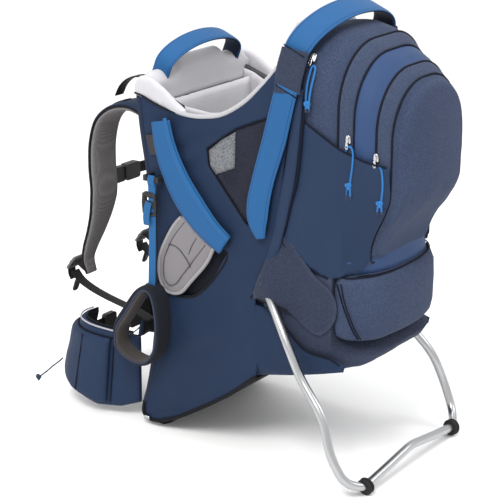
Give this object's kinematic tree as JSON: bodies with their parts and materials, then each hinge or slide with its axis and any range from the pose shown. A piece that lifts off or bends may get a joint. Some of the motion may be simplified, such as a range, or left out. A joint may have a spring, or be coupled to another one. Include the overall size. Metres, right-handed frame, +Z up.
{
  "type": "baby carrier backpack",
  "caption": "Framed child carrier backpack with a fold-out wire kickstand, padded cockpit, cargo bag, harness, hip belt and foot stirrups.",
  "frame": {"origin": "centre of the flat underside of the front base skid, on the ground", "axes": "+X to the wearer's right, +Y the way the wearer faces, +Z up; the carrier stands on its base skid and its opened kickstand"},
  "size_m": [0.3528, 0.731, 0.7274],
  "materials": {
    "navy_body_fabric": "dense navy polyester, matte",
    "heather_fabric": "two-tone heather weave, matte",
    "smooth_navy_fabric": "smooth navy polyester with a soft sheen",
    "mid_blue_fabric": "smooth blue-navy polyester with a soft sheen",
    "blue_webbing": "bright blue woven webbing",
    "black_webbing": "black woven webbing",
    "light_grey_liner": "soft light grey knitted liner",
    "pad_grey_mesh": "grey spacer mesh over foam",
    "dark_mesh": "open dark mesh",
    "polished_steel": "polished tube with fine wear",
    "dark_painted_tube": "dark powder coat",
    "black_rubber": "black moulded rubber",
    "black_plastic": "fine-textured black acetal",
    "grey_plastic": "grey moulded plastic",
    "blue_cord": "braided blue cord",
    "zip_metal": "bright zip slider",
    "stirrup_fabric": "heather outside, grey-brown lining"
  },
  "bodies": {
    "frame": {"back_pads": "pad_grey_mesh", "back_uprights": "dark_painted_tube", "bag_base": "heather_fabric", "base_skid": "black_rubber", "base_tube": "dark_painted_tube", "cargo_bag_main": "heather_fabric", "cargo_bag_middle": "mid_blue_fabric", "child_harness": "pad_grey_mesh", "cockpit_rim_pad": "light_grey_liner", "edge_keepers": "black_plastic", "framesheet": "black_plastic", "front_handle": "blue_webbing", "front_hoop_tube": "dark_painted_tube", "front_pocket": "heather_fabric", "front_wall_liner": "light_grey_liner", "handle_sleeves": "heather_fabric", "kickstand_covers": "heather_fabric", "kickstand_hubs": "black_plastic", "kickstand_pivot_pins": "polished_steel", "lower_compartment": "navy_body_fabric", "lower_pocket": "heather_fabric", "lumbar_pad": "pad_grey_mesh", "mesh_windows": "dark_mesh", "rear_handle": "blue_webbing", "rear_hoop_tube": "dark_painted_tube", "seat_back_liner": "light_grey_liner", "side_panel_left": "navy_body_fabric", "side_panel_right": "navy_body_fabric", "side_straps": "blue_webbing", "thigh_pads": "pad_grey_mesh"},
    "kickstand": {"kickstand_tube": "polished_steel", "kickstand_rings": "black_rubber"},
    "seat": {"seat_base": "pad_grey_mesh"},
    "harness": {"harness_yoke": "pad_grey_mesh", "shoulder_strap_left": "pad_grey_mesh", "shoulder_strap_right": "pad_grey_mesh", "load_lifters": "black_webbing", "strap_ladder_locks": "grey_plastic", "strap_lower_webbing": "black_webbing"},
    "sternum": {"sternum_webbing_left": "black_webbing", "sternum_plug": "black_plastic"},
    "sternum_socket_half": {"sternum_webbing_right": "black_webbing", "sternum_socket": "black_plastic"},
    "hipbelt_left": {"hipbelt_wing_left": "smooth_navy_fabric", "waist_buckle_left": "black_plastic", "hipbelt_cord_left": "blue_cord"},
    "hipbelt_right": {"hipbelt_wing_right": "smooth_navy_fabric", "waist_buckle_right": "black_plastic", "hipbelt_cord_right": "blue_cord"},
    "stirrup_left": {"stirrup_loop_left": "stirrup_fabric", "stirrup_strap_left": "blue_webbing"},
    "stirrup_right": {"stirrup_loop_right": "stirrup_fabric", "stirrup_strap_right": "blue_webbing"},
    "top_zip": {"zip_slider_top": "zip_metal", "zip_pull_top": "blue_cord"},
    "middle_zip": {"zip_slider_middle": "zip_metal", "zip_pull_middle": "blue_cord"},
    "front_zip": {"zip_slider_front": "zip_metal", "zip_pull_front": "blue_cord"}
  },
  "joints": [
    {"name": "kickstand_fold", "type": "hinge", "parent": "frame", "child": "kickstand", "pos_m": [0, -0.249, 0.296], "axis": [1, 0, 0], "range_deg": [0, 62]},
    {"name": "child_seat_height", "type": "slide", "parent": "frame", "child": "seat", "axis": [0, 0, 1], "range_m": [-0.03, 0.04]},
    {"name": "torso_adjust", "type": "slide", "parent": "frame", "child": "harness", "axis": [0, 0, 1], "range_m": [-0.04, 0], "deforming": ["strap_lower_webbing"]},
    {"name": "sternum_height", "type": "slide", "parent": "harness", "child": "sternum", "axis": [0, 0, 1], "range_m": [-0.02, 0.02]},
    {"name": "sternum_buckle_release", "type": "slide", "parent": "sternum", "child": "sternum_socket_half", "axis": [1, 0, 0], "range_m": [0, 0.022]},
    {"name": "hipbelt_left_swing", "type": "hinge", "parent": "frame", "child": "hipbelt_left", "pos_m": [-0.121, 0.029, 0.09], "axis": [0, 0, 1], "range_deg": [-8, 20]},
    {"name": "hipbelt_right_swing", "type": "hinge", "parent": "frame", "child": "hipbelt_right", "pos_m": [0.121, 0.029, 0.09], "axis": [0, 0, 1], "range_deg": [-20, 8]},
    {"name": "stirrup_left_swing", "type": "hinge", "parent": "frame", "child": "stirrup_left", "pos_m": [-0.15, -0.025, 0.436], "axis": [0, 1, 0], "range_deg": [0, 60]},
    {"name": "stirrup_right_swing", "type": "hinge", "parent": "frame", "child": "stirrup_right", "pos_m": [0.15, -0.025, 0.436], "axis": [0, 1, 0], "range_deg": [-60, 0]},
    {"name": "top_zip_slide", "type": "slide", "parent": "frame", "child": "top_zip", "axis": [-0.5879, 0, -0.8089], "range_m": [-0.01, 0.025]},
    {"name": "middle_zip_slide", "type": "slide", "parent": "frame", "child": "middle_zip", "axis": [0, 0, 1], "range_m": [-0.02, 0.03]},
    {"name": "front_zip_slide", "type": "slide", "parent": "frame", "child": "front_zip", "axis": [0, 0, 1], "range_m": [-0.02, 0.03]}
  ]
}
